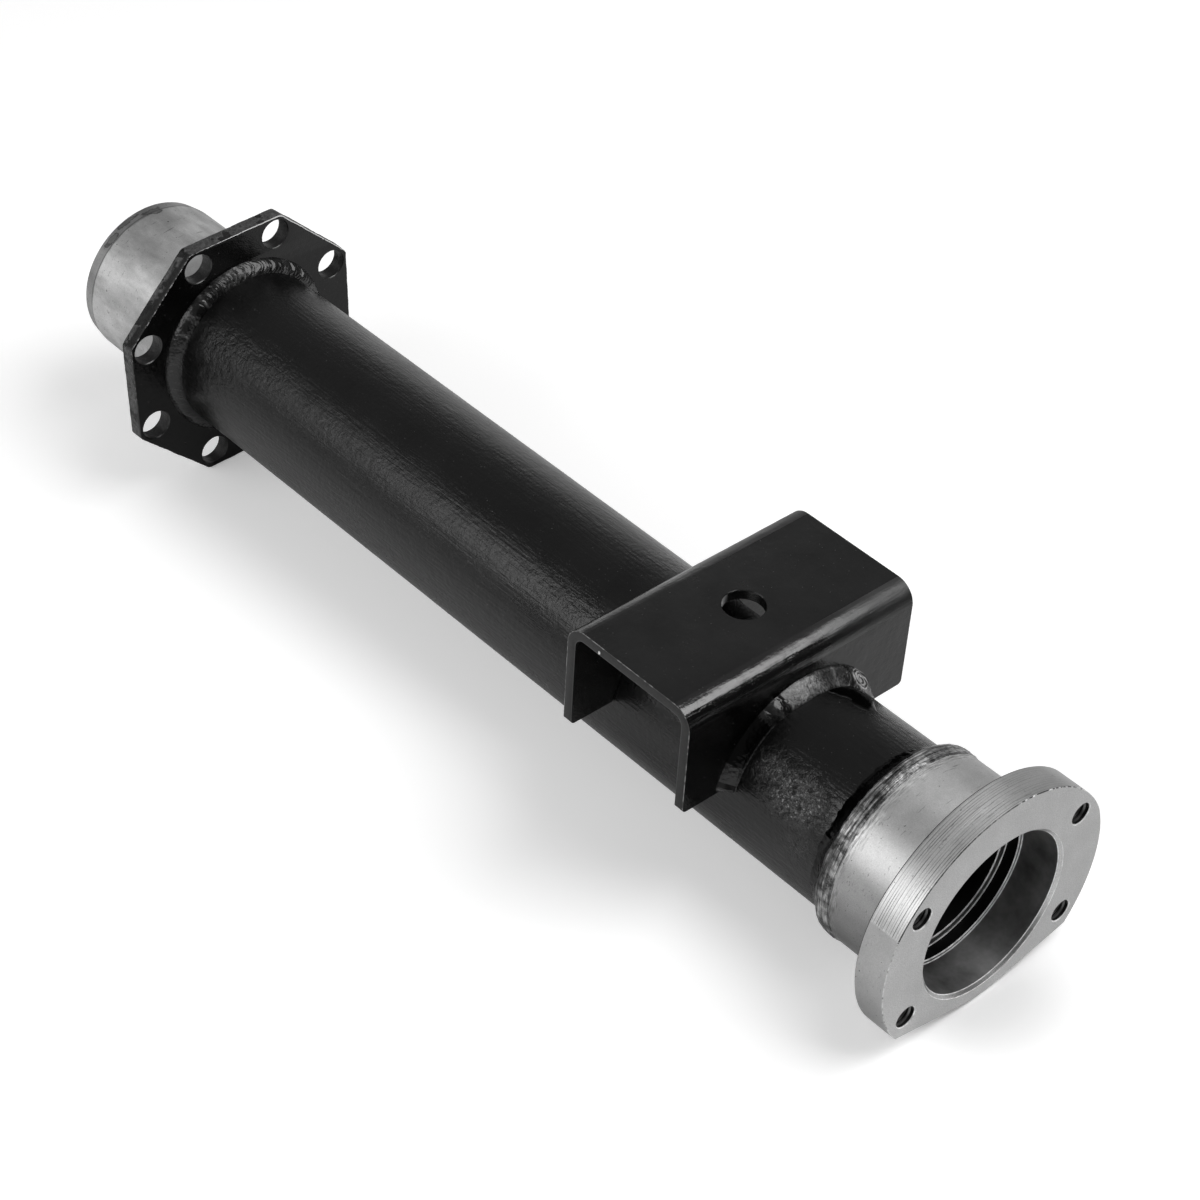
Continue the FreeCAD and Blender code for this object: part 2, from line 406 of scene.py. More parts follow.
def thick_paint(name):
    """Paint that ran and set thick: jet black and smooth."""
    g = Graph(name)
    waves = g.noise(260, 2, 0.5)
    tone = g.mix(waves, 0.0003, 0.0008)
    return g.finish(tone, g.mix(waves, 0.1, 0.2), g.bump(waves, 0.0001), Specular_IOR_Level=0.12)


def turned_steel(name, tone_low, tone_high, roughness, pitch, depth, lines=0, spigot=False, rubbed_and_painted_light=False):
    """Bare steel turned on a lathe: rings round the axle, faint clouds, scratches and dark specks; on the
    neck also a ground-back border and painted shade.
    """
    g = Graph(name)
    height = g.streaks(pitch, 9, 9, 3, 0.65)
    clouds = g.noise(42, 5, 0.68)
    grain = g.noise(2400, 2, 0.6)
    tone = g.mix(g.rise(clouds, 0.3, 0.7), tone_low, tone_high)
    tone = g.mix(g.rise(grain, 0.3, 0.7, 1, 0) * 0.35, tone, tone_low * 0.5)
    scratches = g.rise(g.streaks(900, 60, 400, 2, 0.7), 0.66, 0.69)
    tone = g.mix(scratches * 0.45, tone, 0.12)
    dots = g.rise(g.noise(700, 1, 0.5), 0.755, 0.775)
    tone = g.mix(dots * 0.8, tone, 0.04)
    if lines:
        tone, height = tool_marks(g, tone, height, lines)
    # On the neck: scratches and stain by the weld, and painted shade on its side toward -Y
    if rubbed_and_painted_light:
        tone = rubbed_border_and_shade(g, tone)
    if spigot:
        tone = spigot_stains(g, tone, clouds)
    shine = g.mix(clouds, roughness - 0.08, roughness + 0.08)
    normal = g.bump(grain, 0.00001, g.bump(height, depth))
    tangent = g.node("Tangent", {}, direction_type="RADIAL", axis="X")
    return g.finish(
        tone, shine, normal, Metallic=1, Anisotropic=0.3, Anisotropic_Rotation=0.25, Tangent=tangent)


def tool_marks(g, tone, height, lines):
    """Tool marks on the crown, about 1.1 mm apart, uneven in spacing and in strength."""
    wander = g.streaks(280, 3, 3, 2, 0.5) * 2.6
    marks_per_metre = 900
    turns = g.maths("FRACT", g.along("X") * marks_per_metre + wander)
    dark = g.ramp(turns, (0, 0), (0.1, 1), (0.2, 1), (0.3, 0))
    pale = g.rise(g.streaks(1000, 5, 5, 1, 0.5), 0.35, 0.4, 1, 0)
    broken = g.rise(g.streaks(500, 90, 90, 2, 0.5), 0.3, 0.6, 0.25, 1)
    share = g.wear_and_highlight() * broken * lines
    tone = g.mix(dark * share, tone, 0.07)
    tone = g.mix(pale * (share * 0.12), tone, 0.95)
    return tone * g.mix(g.wear_and_highlight(), 0.86, 1), height + dark * (share * -0.3)


def rubbed_border_and_shade(g, tone):
    """Ragged scratches and stain on the neck where the weld beside it was ground back, and painted shade on
    the neck's side toward -Y.
    """
    ragged = (g.noise(90, 4, 0.65) - 0.5) * 0.016
    near = g.fade(g.along("X") + ragged, -0.0385, -0.0425, kind="LINEAR")
    hairs = g.rise(g.streaks(1500, 190, 190, 4, 0.7), 0.38, 0.62)
    tone = g.mix(near * 0.7, tone, g.mix(hairs, 0.14, 0.8))
    # Painted shade: the neck's side toward -Y is darker, in two steps
    shade_side = g.toward((0, -0.985, -0.174)) + ragged * 0.1
    return tone * (g.fade(shade_side, 0.0315, 0.0365, 1, 0.7) * g.fade(shade_side, 0.039, 0.0425, 1, 0.75))


# Oily spots on the spigot's taper: station, angle and half lengths along and round
SPIGOT_STAINS = ((-526.6, 91, 2.9, 4.6), (-530.2, 111, 1.6, 5.4), (-528.8, 128, 2.5, 3.6))


def spigot_stains(g, tone, clouds):
    """Darken the spigot's taper, line its edge and put the ragged spots on it."""
    along = g.along("X")
    taper = g.fade(along + (clouds - 0.5) * 0.006, -0.5252, -0.5258, kind="LINEAR")
    patches = g.rise(g.streaks(22, 60, 60, 4, 0.65), 0.4, 0.6)
    tone = tone * g.mix(taper, 1, 0.62) * g.mix(patches, 0.78, 1.12)
    edge = g.fade(g.maths("ABSOLUTE", along + 0.526), 0.0005, 0.0002, kind="LINEAR")
    tone = g.mix(edge * 0.55, tone, 0.08)
    ragged = (g.noise(230, 3, 0.65) - 0.5) * 2.6
    for station, angle, reach_x, reach_a in SPIGOT_STAINS:
        shift = [-value * MM for value in round_axle(station, angle, 36.8)]
        moved = g.node("Mapping", {"Vector": g.place, "Location": shift})
        spun = g.node("Mapping", {
            "Vector": moved, "Rotation": (radians(90 - angle), 0, 0),
            "Scale": (1 / (reach_x * MM), 1 / (reach_a * MM), 60)})
        spot = g.ramp(g.length(spun) + ragged, (0, 0.55), (0.55, 0.4), (0.78, 0.9), (0.9, 0.8), (1, 0))
        tone = g.mix(spot, tone, 0.09)
    return tone


def ground_steel(name, tone, roughness):
    """Ground or milled flat steel: speckled grain with faint marks and clouds."""
    g = Graph(name)
    grain = g.noise(1700, 3, 0.7)
    marks = g.streaks(90, 900, 60, 3, 0.6)
    clouds = g.noise(55, 5, 0.65)
    shade = g.mix(g.rise(clouds, 0.3, 0.7), tone * 0.86, tone * 1.08)
    shade = g.mix(g.rise(grain, 0.3, 0.6, 0.75, 0), shade, tone * 0.6)
    shine = g.mix(clouds, roughness, roughness + 0.08)
    return g.finish(shade, shine, g.bump(grain + marks, 0.00003), Metallic=1)


def cut_edge(name):
    """Flame-cut plate edge: grooved and scaly, black paint broken through to grey with pale rims."""
    g = Graph(name)
    chips = g.ramp(g.noise(85, 5, 0.62), (0.44, 0), (0.455, 1), (0.485, 0.62), (0.62, 0.75))
    scale = g.noise(620, 4, 0.75)
    strong = g.rise(scale, 0.3, 0.7)
    tone = g.mix(chips, g.mix(strong, 0.001, 0.014), g.mix(strong, 0.02, 0.15)) * g.mix(g.wear_and_highlight(), 0.1, 1.3)
    normal = g.bump(scale, 0.00035, g.bump(chips, 0.00015))
    return g.finish(tone, g.mix(chips, 0.45, 0.6), normal, Specular_IOR_Level=0.22)


def burr_steel(name):
    """Machined corner left sharp: pale on the ears; on the crown dark, with bright crumbs midway."""
    g = Graph(name)
    wear_and_highlight = g.wear_and_highlight()
    crumbs = g.noise(520, 3, 0.6)
    level = crumbs * 0.6 + g.noise(38, 2, 0.5) * 0.4
    dark = g.ramp(level, (0.38, 0.005), (0.48, 0.05), (0.62, 0.2))
    bright = g.ramp(level, (0.46, 0.08), (0.52, 0.95), (0.6, 1))
    crown = g.mix(g.ramp(wear_and_highlight, (0.2, 0), (0.34, 1), (0.5, 1), (0.7, 0)), dark, bright)
    ears = g.ramp(level, (0.38, 0.25), (0.45, 0.5), (0.62, 0.8))
    shade = g.mix(g.rise(wear_and_highlight, 0, 0.1), ears, crown)
    return g.finish(shade, 0.4, g.bump(crumbs, 0.0001), Metallic=0.5)


def pale_edge(name, tone):
    """Near-white steel for the thin bright line along a broken machined edge: a painted highlight."""
    g = Graph(name)
    breaks = g.noise(300, 3, 0.6)
    shade = g.mix(g.rise(breaks, 0.35, 0.6), tone * 0.55, tone)
    return g.finish(shade, 0.35, g.bump(breaks, 0.00002), Metallic=0.25)


def beaded_corner(name, bare=0.75):
    """Plate corner pale in beads and dashes where it is marked: knocked-off paint on the octagon, a painted
    highlight on the channel's corners.
    """
    g = Graph(name)
    wear_and_highlight = g.wear_and_highlight()
    beads = g.noise(520, 3, 0.6)
    gone = g.rise(beads * 0.7 + g.noise(60, 2, 0.5) * 0.3 + wear_and_highlight * 0.45, 0.68, 0.74)
    tone = g.mix(gone, 0.004, g.mix(g.rise(wear_and_highlight, 0.25, 0.75), bare * 0.16, bare))
    return g.finish(tone, g.mix(gone, 0.3, 0.4), g.bump(beads, 0.0002), Specular_IOR_Level=0.6)


def bare_weld(name):
    """Weld bead ground back to the neck: dark scale and long scratches running round with it."""
    g = Graph(name)
    clouds = g.noise(150, 5, 0.7)
    scratches = g.streaks(1300, 60, 60, 4, 0.72)
    lines = g.ramp(scratches, (0.36, 0), (0.5, 0.35), (0.64, 1))
    tone = g.mix(g.rise(clouds, 0.38, 0.62), 0.03, 0.24)
    tone = g.mix(lines, tone * 0.2, tone * 3.2)
    return g.finish(tone, g.mix(clouds, 0.3, 0.5), g.bump(clouds * 0.5 + scratches, 0.0003), Metallic=0.9)


def bore_steel(name, low, high, roughness):
    """Inside of a bore: oily dark steel with faint boring lines."""
    g = Graph(name)
    clouds = g.noise(60, 4, 0.6)
    tone = g.mix(g.rise(clouds, 0.32, 0.68), low, high)
    normal = g.bump(g.streaks(1400, 6, 6, 3, 0.6), 0.00001)
    return g.finish(tone, g.mix(clouds, roughness, roughness + 0.1), normal, Metallic=1)


TUBE_PAINT = paint("tube black paint", 0.00015, 0.00022, 0.21, streaks=0.0002, pits=0.0006, specular=0.38)
PLATE_PAINT = paint("plate black paint", 0.00007, 0.00012, 0.13, specular=0.35)
PERCH_PAINT = paint("perch black paint", 0.00007, 0.00016, 0.2, streaks=0.00004, dust=0.003, drawn="Y")
LEG_PAINT = paint("perch leg black paint", 0.00005, 0.00018, 0.08, streaks=0.00003, drawn="Y", specular=0.36)
FOLD_PAINT = paint(
    "fold black paint", 0.00005, 0.00022, 0.13, streaks=0.0002, drawn="Y", specular=0.8, dulled=0.3)
HOLE_WALL = paint("drilled hole wall", 0.0004, 0.0002, 0.4, dust=0.002)
THICK_PAINT = thick_paint("thick black paint")
WELD_PAINT = weld_paint("weld black paint")
CRATER_PAINT = weld_paint("weld black paint with a crater", crater=True)
CUT_EDGE = cut_edge("flame cut edge")
WORN_EDGE = beaded_corner("worn plate corner")
# The channel's corners: a painted highlight along them, in beads
CHANNEL_CORNER_HIGHLIGHT = beaded_corner("rubbed channel corner", 0.4)
SHEARED_EDGE = ground_steel("sheared edge", 0.05, 0.42)
TURNED_NECK = turned_steel("turned neck", 0.47, 0.68, 0.5, 1500, 0.00002, rubbed_and_painted_light=True)
TURNED_SPIGOT = turned_steel("turned spigot", 0.48, 0.7, 0.55, 1100, 0.00002, spigot=True)
TURNED_RIM = turned_steel("turned rim", 0.5, 0.64, 0.44, 2200, 0.00003, lines=0.85)
GROUND_FACE = ground_steel("ground bolt face", 0.56, 0.36)
LIP_STEEL = ground_steel("bevelled lip", 0.62, 0.3)
# Painted highlight on the bore's steps and the bolt holes' chamfers; the perch's paint chip shows bare steel
# in it too
STEP_STEEL = pale_edge("machined step edge", 0.98)
BURR_STEEL = burr_steel("bolt face corner")
SEAT_STEEL = bore_steel("bearing seat", 0.12, 0.3, 0.5)
# Near-black steel for the seal relief, and for a painted shade line on the flange's back bevel
RELIEF_AND_SHADE_STEEL = bore_steel("seal relief", 0.01, 0.02, 0.5)
LEDGE_STEEL = bore_steel("bore shoulder", 0.2, 0.4, 0.4)
THROAT_STEEL = bore_steel("throat", 0.03, 0.06, 0.4)
THREAD_STEEL = bore_steel("tapped thread", 0.08, 0.16, 0.35)
WELD_STEEL = bare_weld("bare weld")

# Places where the tube's surface is coarser: station, angle, reach along, reach round, height, and
# how far the finish follows it
ROUGH_PATCHES = (
    (-428, 145, 30, 40, 0.07, 0.3),
    (-404, 128, 26, 30, 0.06, 0.2),
    (-207, 134, 40, 18, 0.02, 0.2),
    (-75, 145, 25, 26, 0.09, 1),
    (-89, 140, 15, 16, 0.07, 0.8),
    (-66, 168, 14, 22, 0.05, 0.5),
    (-330, 300, 60, 30, 0.04, 0.3),
    (-90, 280, 24, 40, 0.05, 0.3),
    (-432, 20, 24, 40, 0.05, 0.3),
)


def patch_weight(x, angle):
    """Height and finish of the rough patches at a place on the tube."""
    height = 0
    finish = 0
    for station, about, reach_x, reach_a, rise, mark in ROUGH_PATCHES:
        away = hypot((x - station) / reach_x, turn_from(about, angle) / reach_a)
        weight = 1 - ease(0.2, 1, away)
        height += weight * rise
        finish = max(finish, weight * mark)
    return height, finish


def axle_tube_piece():
    """Painted tube with its uneven skin, the bare spigot, the open bore and the butt end."""
    count = 240
    step = 1.45
    shell = Shell()
    stations = []
    x = BUTT_X
    while x > FLANGE_BACK_X + 0.5 * step:
        stations.append(x)
        x -= step
    painted = []
    for x in stations + [FLANGE_BACK_X]:
        row, marks = [], []
        for angle in full_turn(count):
            place = round_axle(x, angle, TUBE_R)
            height, finish = patch_weight(x, angle)
            lift = 0.04 * rough(place, 26, 2) + 0.008 * rough(place, 7, 2) + height * rough(place, 5, 3)
            row.append(round_axle(x, angle, TUBE_R - 0.05 + lift))
            marks.append(finish)
        painted.append(shell.row(row, marks))
    shell.strips(painted, TUBE_PAINT)
    taper_x = SPIGOT_END_X + TAPER_LENGTH
    nose_x = SPIGOT_END_X + 0.8
    profile = [(lerp(FLANGE_BACK_X, taper_x + 0.15, i / 24), SPIGOT_R) for i in range(25)]
    for i in range(7):
        profile.append((lerp(taper_x - 0.15, nose_x, i / 6), lerp(SPIGOT_R - 0.03, NOSE_R, i / 6)))
    profile.append((SPIGOT_END_X, NOSE_R - 0.8))
    bare = [shell.circle(x, radius, count) for x, radius in profile]
    chamfer = 0.6
    rim = [shell.circle(SPIGOT_END_X, TUBE_BORE_R + chamfer, count),
           shell.circle(SPIGOT_END_X + chamfer, TUBE_BORE_R, count)]
    shell.strips([painted[-1]] + bare + rim, TURNED_SPIGOT)
    bore = [shell.circle(x, TUBE_BORE_R, count) for x in (-400, -250, -120, BUTT_X)]
    shell.strips([rim[1]] + bore + [painted[0]], THROAT_STEEL)
    piece = shell.build("axle_tube_visual")
    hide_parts("axle_tube")


# Paint lost along the front corner of each of the octagon's sides, at its start and end, and how
# grey the side is between its corners, from the first corner on round
SIDE_WEAR = ((0.72, 0.85), (0.95, 0.3), (0.5, 0.4), (0.3, 0.15), (0.1, 0), (0, 0), (0, 0.1), (0.2, 0.5))
SIDE_TONE = (0.5, 0.6, 0.8, 0.75, 0.2, 0.2, 0.2, 0.5)
STRIPED_SIDE = 2


def octagon_side(share):
    """The side at a share of the way round, and how far along that side it is."""
    place = share * OCTAGON_SIDES
    return int(place) % OCTAGON_SIDES, place - int(place)


def octagon_point(share, inset):
    """A point round the octagon's outline, y and z, set in from its edge."""
    side, along = octagon_side(share)
    radius = (OCTAGON_FLAT_R - inset) / cos(pi / OCTAGON_SIDES)
    _, ya, za = round_axle(0, OCTAGON_FIRST + OCTAGON_STEP * side, radius)
    _, yb, zb = round_axle(0, OCTAGON_FIRST + OCTAGON_STEP * (side + 1), radius)
    return lerp(ya, yb, along), lerp(za, zb, along)


def side_tone(share, depth, place):
    """Grey of a side; the one on the upper left keeps a black stripe along its front."""
    side, _ = octagon_side(share)
    if side == STRIPED_SIDE and depth + 1.6 * rough((place * 0.35, depth, 4), 2, 3) < 4.2:
        return 0
    return SIDE_TONE[side]


def corner_wear(share):
    side, along = octagon_side(share)
    return lerp(*SIDE_WEAR[side], along)


def octagon_piece():
    """Octagonal plate with flame-cut sides, nicked edges and eight drilled holes."""
    per_side = 48
    hole_sides = 56
    hole_edge = 0.35
    count = per_side * OCTAGON_SIDES
    shell = Shell()
    rows = []
    for depth in (0, 0.2, 1.1, 2.2, 3.6, 5, 6.1, 6.92, OCTAGON_T):
        row, marks = [], []
        for i in range(count):
            share = i / count
            corner = min(i % per_side, per_side - i % per_side) / per_side
            edge = 0.22 if depth in (0, OCTAGON_T) else 0
            if depth == 0:
                edge += 0.25 * ease(0.6, 0.95, corner_wear(share))
            y, z = octagon_point(share, 0)
            drag = 0.1 * rough((depth * 0.25, y, z), 1.6, 2) + 0.16 * rough((depth * 0.5, y, z), 6, 2)
            nick = max(0, rough((depth * 2, y * 1.3, z * 1.3), 3.1, 3) - 0.35) * 0.5
            inset = edge + 0.16 + drag + (nick if edge else 0.3 * nick)
            inset += 0.25 * (1 - ease(0, 0.02, corner))
            row.append((FLANGE_FRONT_X - depth, *octagon_point(share, max(0, inset))))
            marks.append(corner_wear(share) if depth < 1 else side_tone(share, depth, i))
        rows.append(shell.row(row, marks))
    shell.strip(rows[0], rows[1], WORN_EDGE)
    shell.strips(rows[1:-1], CUT_EDGE)
    shell.strip(rows[-2], rows[-1], WORN_EDGE)
    corners = [OCTAGON_FIRST + OCTAGON_STEP * i for i in range(OCTAGON_SIDES)]
    holes = [round_axle(0, angle, OCTAGON_PITCH_R)[1:] for angle in corners]
    faces = []
    for depth, rim in ((0, rows[0]), (OCTAGON_T, rows[-1])):
        x = FLANGE_FRONT_X - depth
        loops = [rim, shell.circle(x, TUBE_R + 0.12, 160)]
        loops += [shell.circle(x, OCTAGON_HOLE_R + hole_edge, hole_sides, y, z) for y, z in holes]
        shell.fill(loops, PLATE_PAINT)
        faces.append(loops)
    front, back = faces
    shell.strip(front[1], back[1], PLATE_PAINT)
    for (y, z), front_rim, back_rim in zip(holes, front[2:], back[2:]):
        wall = [front_rim]
        for down in (hole_edge, 1.4, 2.6, 3.8, 5, 6.1, 6.85):
            ring = []
            for turn in circle_turns(hole_sides):
                place = (down * 0.4, y + OCTAGON_HOLE_R * cos(turn), z + OCTAGON_HOLE_R * sin(turn))
                radius = OCTAGON_HOLE_R + 0.09 * rough(place, 1.4, 2)
                ring.append((FLANGE_FRONT_X - down, y + radius * cos(turn), z + radius * sin(turn)))
            wall.append(shell.row(ring))
        for index in wall[0] + wall[1]:
            shell.marks[index] = 0.12
        shell.strip(wall[0], wall[1], WORN_EDGE)
        shell.strips(wall[1:] + [back_rim], HOLE_WALL)
    piece = shell.build("mounting_flange_visual")
    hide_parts("mounting_flange")


def leg_bottom(y):
    """Height at which the perch's legs end: saddle over the tube, flat feet, round corners."""
    reach = abs(y)
    if reach < sqrt(SADDLE_R ** 2 - PERCH_FOOT_Z ** 2):
        return sqrt(SADDLE_R ** 2 - reach ** 2)
    corner = min(PERCH_CORNER_R, max(0, reach - (PERCH_HALF_Y - PERCH_CORNER_R)))
    return PERCH_FOOT_Z + PERCH_CORNER_R - sqrt(PERCH_CORNER_R ** 2 - corner ** 2)


def perch_stations():
    """Stations along Y: close together on the saddle's steep ends and at the plate's ends."""
    foot = degrees(asin(PERCH_FOOT_Z / SADDLE_R))
    corner_y = PERCH_HALF_Y - PERCH_CORNER_R
    half = [SADDLE_R * cos(radians(lerp(90, foot, i / 32))) for i in range(33)]
    half += [lerp(half[32], corner_y, i / 12) for i in range(1, 13)]
    half += [corner_y + PERCH_CORNER_R * sin(radians(90 * i / 5)) for i in range(1, 5)]
    half.append(PERCH_HALF_Y - PERCH_EDGE)
    half = sorted(set(round(y, 4) for y in half))
    return [-y for y in reversed(half) if y > 1e-6] + half


LEG_POINTS = 8
BEND_POINTS = 12


def perch_side(y, side, outer, inset):
    """One leg and its bend at a station, from the foot up to where the web starts."""
    offset = inset if outer else PERCH_PLATE - inset
    low = leg_bottom(y) + inset * 0.5
    bend_z = PERCH_TOP_Z - PERCH_BEND_R
    points = []
    for i in range(LEG_POINTS + 1):
        z = lerp(low, bend_z, i / LEG_POINTS)
        bow = 0.05 * rough((side * 40, y, z), 26, 2) if outer and not inset else 0
        points.append((PERCH_X + side * (PERCH_HALF_X - offset - bow), y, z))
    for i in range(1, BEND_POINTS + 1):
        turn = radians(90 * i / BEND_POINTS)
        radius = PERCH_BEND_R - offset
        if outer and not inset and 1 < i < BEND_POINTS:
            swell = sin(pi * i / BEND_POINTS) ** 0.5
            radius += swell * (0.1 * rough((side * 9 + i * 1.3, y * 0.3, 3), 3.2, 3)
                               + 0.08 * rough((side * 5, y * 0.22, i * 0.5), 2.2, 2)) - 0.03
        points.append((PERCH_X + side * (PERCH_HALF_X - PERCH_BEND_R + radius * cos(turn)), y,
                       bend_z + radius * sin(turn)))
    return points


def perch_hole_row(shell, z, radius):
    """Add a circle of the perch's hole at a height."""
    return shell.row([(PERCH_X + radius * cos(t), radius * sin(t), z) for t in circle_turns(72)])


# Outline of the paint chip on the perch's end, x and z
PAINT_CHIP = ((-155.4, 53), (-154.7, 52.8), (-154.3, 53.3), (-154.2, 54), (-154.6, 54.5), (-155.2, 54.3))


def spring_perch_piece():
    """Folded channel: legs saddled over the tube, rounded folds, drilled web, sheared ends."""
    shell = Shell()
    ends = [(-PERCH_HALF_Y, PERCH_EDGE)] + [(y, 0) for y in perch_stations()] + [(PERCH_HALF_Y, PERCH_EDGE)]
    legs = {}
    for side in (-1, 1):
        for outer in (True, False):
            rows = [shell.row(perch_side(y, side, outer, inset)) for y, inset in ends]
            legs[side, outer] = rows
            shell.sheet(rows[0], rows[1], CHANNEL_CORNER_HIGHLIGHT)
            for row_a, row_b in zip(rows[1:-1], rows[2:-1]):
                leg, fold = slice(LEG_POINTS + 1), slice(LEG_POINTS, None)
                shell.sheet(row_a[leg], row_b[leg], LEG_PAINT if outer else PERCH_PAINT)
                shell.sheet(row_a[fold], row_b[fold], FOLD_PAINT if outer else PERCH_PAINT)
            shell.sheet(rows[-2], rows[-1], CHANNEL_CORNER_HIGHLIGHT)
            # Marks for the painted highlight on the corners, stronger outside
            for index in rows[0] + rows[1] + rows[-2] + rows[-1]:
                shell.marks[index] = 0.45 if outer else 0.1
        outside, inside = legs[side, True], legs[side, False]
        shell.sheet([row[0] for row in outside], [row[0] for row in inside], SHEARED_EDGE)
        for end in (0, -1):
            shell.sheet(outside[end], inside[end], SHEARED_EDGE)
    web = []
    for z, outer, hole_edge in ((PERCH_TOP_Z, True, 0.3), (PERCH_TOP_Z - PERCH_PLATE, False, 0)):
        left = [row[-1] for row in legs[-1, outer]]
        right = [row[-1] for row in legs[1, outer]]
        rim = perch_hole_row(shell, z, PERCH_HOLE_R + hole_edge)
        shell.fill([left[1:-1] + right[-2:0:-1], rim], PERCH_PAINT)
        for end, near in ((0, 1), (-1, -2)):
            shell.face((left[end], left[near], right[near], right[end]), CHANNEL_CORNER_HIGHLIGHT)
        web.append((left, right, rim))
    (top_left, top_right, top_rim), (low_left, low_right, low_rim) = web
    for end in (0, -1):
        shell.face((top_left[end], top_right[end], low_right[end], low_left[end]), SHEARED_EDGE)
    wall = [perch_hole_row(shell, PERCH_TOP_Z - down, PERCH_HOLE_R) for down in (0.3, 2.2)]
    shell.strips([top_rim] + wall + [low_rim], PERCH_PAINT)
    chip_back = shell.row([(x, 0.1 - PERCH_HALF_Y, z) for x, z in PAINT_CHIP])
    chip_front = shell.row([(x, -PERCH_HALF_Y - 0.08, z) for x, z in PAINT_CHIP])
    shell.strip(chip_back, chip_front, STEP_STEEL)
    shell.face(chip_back, STEP_STEEL)
    shell.face(chip_front, STEP_STEEL)
    piece = shell.build("spring_perch_visual", sharp=40)
    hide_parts("spring_perch")


def flange_reach(angle, inset):
    """Distance from the axle to the bolt flange's outline at an angle, set in from the edge."""
    turn = radians(angle)
    crown = CROWN_R - inset
    over = -CROWN_DROP * sin(turn) + sqrt(crown ** 2 - (CROWN_DROP * cos(turn)) ** 2)
    reach = min(EAR_R - inset, over)
    # The foot is flat, with a sloping flat on either side
    past = max(0, abs(turn_from(270, angle)) - FOOT_SLOPE)
    return reach if past > 75 else min(reach, (FOOT_R - inset) / cos(radians(past)))


def flange_angles(count):
    """Angles round the bolt flange, with the outline's corners among them."""
    angles = full_turn(count)
    past = degrees(acos(FOOT_R / EAR_R)) + FOOT_SLOPE
    for corner in (270 + past, 270 + FOOT_SLOPE, CROWN_START, 270 - past, 270 - FOOT_SLOPE,
                   180 - CROWN_START):
        nearest = min(range(count), key=lambda i: abs(angles[i] - corner % 360))
        angles[nearest] = corner % 360
    return angles


def crown_share(angle):
    """1 on the turned crown of the bolt flange and 0 on its ears and foot."""
    return (ease(CROWN_START - 0.3, CROWN_START + 0.3, angle)
            * ease(180.3 - CROWN_START, 179.7 - CROWN_START, angle))


# Stations and radii of the stepped bore, each with what leads up to it
BORE_PROFILE = (
    (-0.2, 37.3, STEP_STEEL), (-1.25, 36.25, LIP_STEEL), (-1.5, 36, STEP_STEEL),
    (-6, 36, SEAT_STEEL), (-12, 36, SEAT_STEEL), (-18.5, 36, SEAT_STEEL),
    (-18.82, 35.68, STEP_STEEL), (-18.82, 34.78, LEDGE_STEEL), (-19.2, 34.4, STEP_STEEL),
    (-21.5, 34.4, RELIEF_AND_SHADE_STEEL), (-23.9, 34.4, RELIEF_AND_SHADE_STEEL),
    (-24.22, 34.08, STEP_STEEL), (-24.22, 31.2, LEDGE_STEEL), (-24.62, 30.8, STEP_STEEL),
    (-37, 30.8, THROAT_STEEL), (-50, 30.8, THROAT_STEEL),
)


